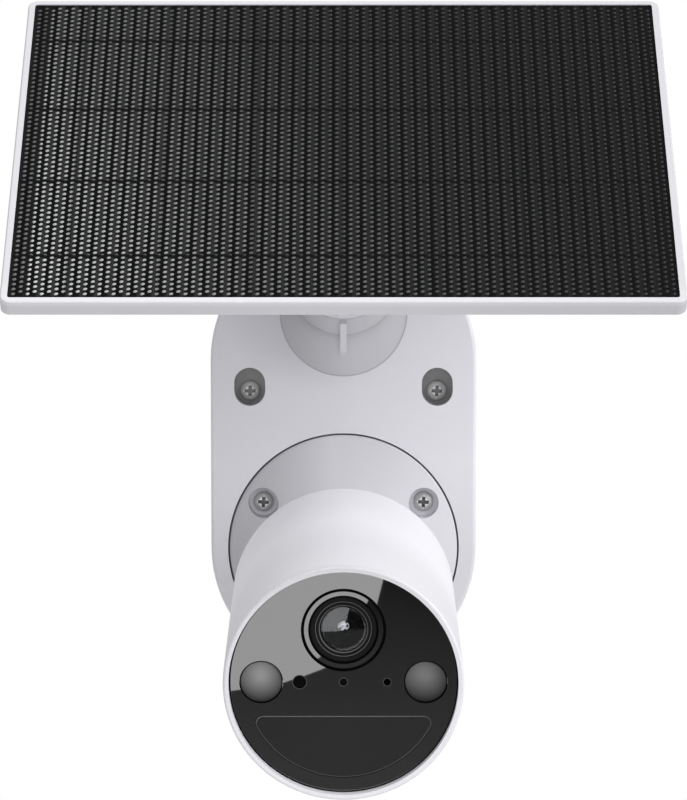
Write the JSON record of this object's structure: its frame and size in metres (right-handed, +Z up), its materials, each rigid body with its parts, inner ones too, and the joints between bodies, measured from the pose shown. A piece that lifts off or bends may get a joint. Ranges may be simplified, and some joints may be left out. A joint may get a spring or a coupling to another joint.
{
  "type": "security camera",
  "caption": "Wall-mounted bullet security camera with a solar panel on one pill-shaped plate, both on clamped ball joints.",
  "frame": {"origin": "on the wall plane, on the axis of the camera base disc", "axes": "+X to the right seen from the front, +Y into the wall, +Z up"},
  "size_m": [0.198, 0.1877, 0.2232],
  "materials": {
    "white_shell": "white moulded plastic with a fine satin grain",
    "black_face": "glossy black",
    "motion_window": "dark smooth infrared window",
    "black_plastic": "matt black moulded plastic",
    "barrel_metal": "black anodised",
    "lens_glass": "coated optical glass",
    "frosted_lens": "frosted diffuser",
    "clear_plastic": "smoked clear plastic",
    "reflector": "bright metallised cup",
    "led_chip": "yellow phosphor",
    "steel_screw": "bright zinc-plated steel",
    "socket_metal": "bright stamped metal",
    "brass_insert": "turned brass",
    "rubber_seal": "black soft rubber",
    "rubber_cover": "white soft rubber",
    "button_plastic": "light grey plastic",
    "circuit_board": "green solder mask",
    "copper_film": "copper film",
    "sensor_chip": "dark chip under cover glass",
    "cell_wrap": "shrink-wrapped cell",
    "seat_plastic": "grey low-friction plastic",
    "solar_face": "black embossed film with fine dots",
    "solar_cell": "dark silicon"
  },
  "bodies": {
    "base": {"mounting_plate": "white_shell", "wall_gasket": "rubber_seal", "wall_screws": "steel_screw", "camera_base": "white_shell", "panel_boss": "white_shell", "boss_screws": "steel_screw"},
    "camera_seat": {"camera_ball_seat": "seat_plastic"},
    "camera_collar": {"camera_clamp_collar": "white_shell"},
    "camera_arm": {"camera_ball_stem": "white_shell"},
    "camera_nut": {"camera_lock_nut": "white_shell"},
    "camera": {"body_tube": "white_shell", "rear_cap": "white_shell", "rear_cap_seal": "rubber_seal", "rear_cap_screws": "steel_screw", "camera_insert": "brass_insert", "face_cover": "black_face", "face_seal": "rubber_seal", "pir_window": "motion_window", "lens_bezel": "black_plastic", "lens_barrel": "barrel_metal", "front_lens": "lens_glass", "rear_lens": "lens_glass", "lens_mount": "black_plastic", "ir_filter": "lens_glass", "image_sensor": "sensor_chip", "sensor_board": "circuit_board", "spotlight_lenses": "frosted_lens", "spotlight_reflectors": "reflector", "spotlight_leds": "led_chip", "front_board": "circuit_board", "pir_sensor": "socket_metal", "light_sensor_window": "clear_plastic", "status_light_pipe": "clear_plastic", "microphone": "rubber_seal", "inner_frame": "black_plastic", "battery_holder": "black_plastic", "battery_cells": "cell_wrap", "main_board": "circuit_board", "shield_can": "socket_metal", "antenna": "copper_film", "speaker": "black_plastic", "port_bay": "black_plastic", "port_board": "circuit_board", "card_socket": "socket_metal", "charge_socket": "socket_metal"},
    "port_flap": {"port_cover": "rubber_cover"},
    "power_key": {"power_button": "button_plastic"},
    "reset_key": {"reset_button": "button_plastic"},
    "panel_seat": {"panel_ball_seat": "seat_plastic"},
    "panel_collar": {"panel_clamp_collar": "white_shell"},
    "panel_arm": {"panel_ball_stem": "white_shell"},
    "panel_nut": {"panel_lock_nut": "white_shell"},
    "panel": {"panel_frame": "white_shell", "solar_laminate": "solar_face", "solar_cells": "solar_cell", "panel_back": "white_shell", "charge_board": "circuit_board", "panel_hub": "white_shell", "hub_screws": "steel_screw"}
  },
  "joints": [
    {"name": "camera_swing", "type": "hinge", "parent": "base", "child": "camera_seat", "pos_m": [0, -0.028, 0], "axis": [0, 1, 0], "range_deg": [-90, 90]},
    {"name": "camera_tilt", "type": "hinge", "parent": "camera_seat", "child": "camera_arm", "pos_m": [0, -0.028, 0], "axis": [1, 0, 0], "range_deg": [-32.1, 33.9]},
    {"name": "camera_twist", "type": "hinge", "parent": "camera_arm", "child": "camera", "pos_m": [0, -0.028, 0], "axis": [0, -0.9974, -0.0715], "range_deg": [-180, 180]},
    {"name": "camera_collar_turn", "type": "hinge", "parent": "base", "child": "camera_collar", "pos_m": [0, -0.028, 0], "axis": [0, -1, 0], "range_deg": [0, 180]},
    {"name": "camera_nut_turn", "type": "hinge", "parent": "camera_arm", "child": "camera_nut", "pos_m": [0, -0.028, 0], "axis": [0, -0.9974, -0.0715], "range_deg": [0, 180]},
    {"name": "port_cover_hinge", "type": "hinge", "parent": "camera", "child": "port_flap", "pos_m": [0, -0.08265, -0.04322], "axis": [1, 0, 0], "range_deg": [0, 110]},
    {"name": "power_press", "type": "slide", "parent": "camera", "child": "power_key", "axis": [0, -0.0715, 0.9974], "range_m": [0, 0.0004], "stiffness_N_per_m": 1000, "springref_m": -0.0005},
    {"name": "reset_press", "type": "slide", "parent": "camera", "child": "reset_key", "axis": [0, -0.0715, 0.9974], "range_m": [0, 0.0004], "stiffness_N_per_m": 1000, "springref_m": -0.0005},
    {"name": "panel_swing", "type": "hinge", "parent": "base", "child": "panel_seat", "pos_m": [0, -0.02955, 0.09257], "axis": [0, -0.7314, 0.682], "range_deg": [-11.5, 11.5]},
    {"name": "panel_tilt", "type": "hinge", "parent": "panel_seat", "child": "panel_arm", "pos_m": [0, -0.02955, 0.09257], "axis": [1, 0, 0], "range_deg": [-7, 29.4]},
    {"name": "panel_twist", "type": "hinge", "parent": "panel_arm", "child": "panel", "pos_m": [0, -0.02955, 0.09257], "axis": [0, 0.6101, -0.7923], "range_deg": [-9.5, 9.5]},
    {"name": "panel_collar_turn", "type": "hinge", "parent": "base", "child": "panel_collar", "pos_m": [0, -0.02955, 0.09257], "axis": [0, -0.7314, 0.682], "range_deg": [0, 180]},
    {"name": "panel_nut_turn", "type": "hinge", "parent": "panel_arm", "child": "panel_nut", "pos_m": [0, -0.02955, 0.09257], "axis": [0, -0.6101, 0.7923], "range_deg": [0, 180]}
  ]
}
